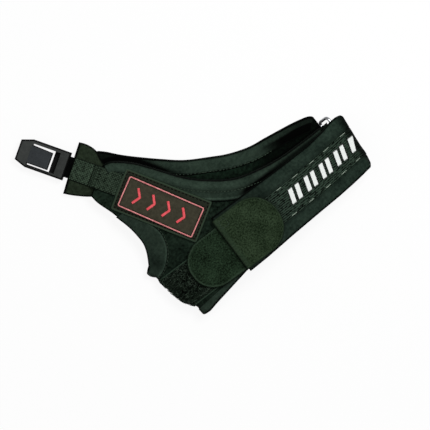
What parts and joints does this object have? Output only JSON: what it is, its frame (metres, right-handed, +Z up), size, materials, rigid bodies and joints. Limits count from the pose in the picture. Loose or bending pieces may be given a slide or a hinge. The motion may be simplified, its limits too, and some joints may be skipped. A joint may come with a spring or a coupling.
{
  "type": "wrist guard",
  "caption": "Clip-on pole wrist strap for the right hand: neoprene hand wrap, wrist strap through a wire ring, hook-and-loop tab and a plastic grip clip.",
  "frame": {"origin": "under the middle of the guard's footprint, on the surface it lies on", "axes": "+X along the wrist strap towards its ring, +Y across the hand towards the clip, +Z up through the back of the hand"},
  "size_m": [0.1844, 0.161, 0.0329],
  "materials": {
    "neoprene": "jersey-faced neoprene, black with a green tint",
    "binding": "folded nylon jersey",
    "loop_pile": "brushed loop pile",
    "hook_fabric": "brushed hook-and-loop fabric, dark olive",
    "patch_rubber": "moulded soft rubber, dark olive brown",
    "patch_red": "raised red rubber",
    "webbing": "plain woven nylon webbing",
    "black_webbing": "black woven webbing",
    "ring_wire": "polished plated wire",
    "pin_steel": "drawn steel",
    "clip_plastic": "moulded acetal, satin",
    "strap_tape": "woven tape",
    "thread": "light sewing thread",
    "reflective": "reflective transfer print"
  },
  "bodies": {
    "guard": {"back_panel": "neoprene", "back_top_binding": "binding", "thumb_facing": "binding", "wrist_binding": "binding", "loop_strip": "loop_pile", "rubber_patch": "patch_rubber", "patch_border": "patch_red", "patch_motif": "patch_red", "palm_panel": "neoprene", "palm_top_binding": "binding", "wrist_gusset": "neoprene", "ring_holder": "webbing", "flared_end": "binding", "clip_loop": "black_webbing", "clip_webbing": "webbing"},
    "clip": {"clip_body": "clip_plastic", "hinge_pin": "pin_steel"},
    "latch": {"latch_tongue": "clip_plastic"},
    "ring": {"ring": "ring_wire"},
    "strap": {"wrist_strap": "neoprene", "strap_fold": "neoprene", "strap_tape": "strap_tape", "tape_fold": "strap_tape", "strap_stitches": "thread", "reflective_bars": "reflective", "strap_end_cover": "hook_fabric", "box_stitch": "thread"},
    "tab": {"hook_tab": "hook_fabric", "hook_field": "hook_fabric"}
  },
  "joints": [
    {"name": "clip_swivel", "type": "hinge", "parent": "guard", "child": "clip", "pos_m": [-0.06954, 0.05095, 0.0039], "axis": [0.8348, 0.5505, 0], "range_deg": [-24, 24]},
    {"name": "latch_flex", "type": "hinge", "parent": "clip", "child": "latch", "pos_m": [-0.08209, 0.06999, 0.0059], "axis": [0.8348, 0.5505, 0], "range_deg": [0, 8], "stiffness_Nm_per_rad": 0.05},
    {"name": "ring_swing", "type": "hinge", "parent": "guard", "child": "ring", "pos_m": [0.07911, -0.0476, 0.0026], "axis": [0, 1, 0], "range_deg": [-4, 4]},
    {"name": "strap_open", "type": "hinge", "parent": "guard", "child": "strap", "pos_m": [0.08511, -0.05465, 0.0097], "axis": [0, 1, 0], "range_deg": [0, 110], "deforming": ["strap_fold", "tape_fold"]},
    {"name": "tab_peel", "type": "hinge", "parent": "strap", "child": "tab", "pos_m": [-0.01401, -0.0568, 0.02879], "axis": [0, 1, 0], "range_deg": [0, 85]}
  ]
}
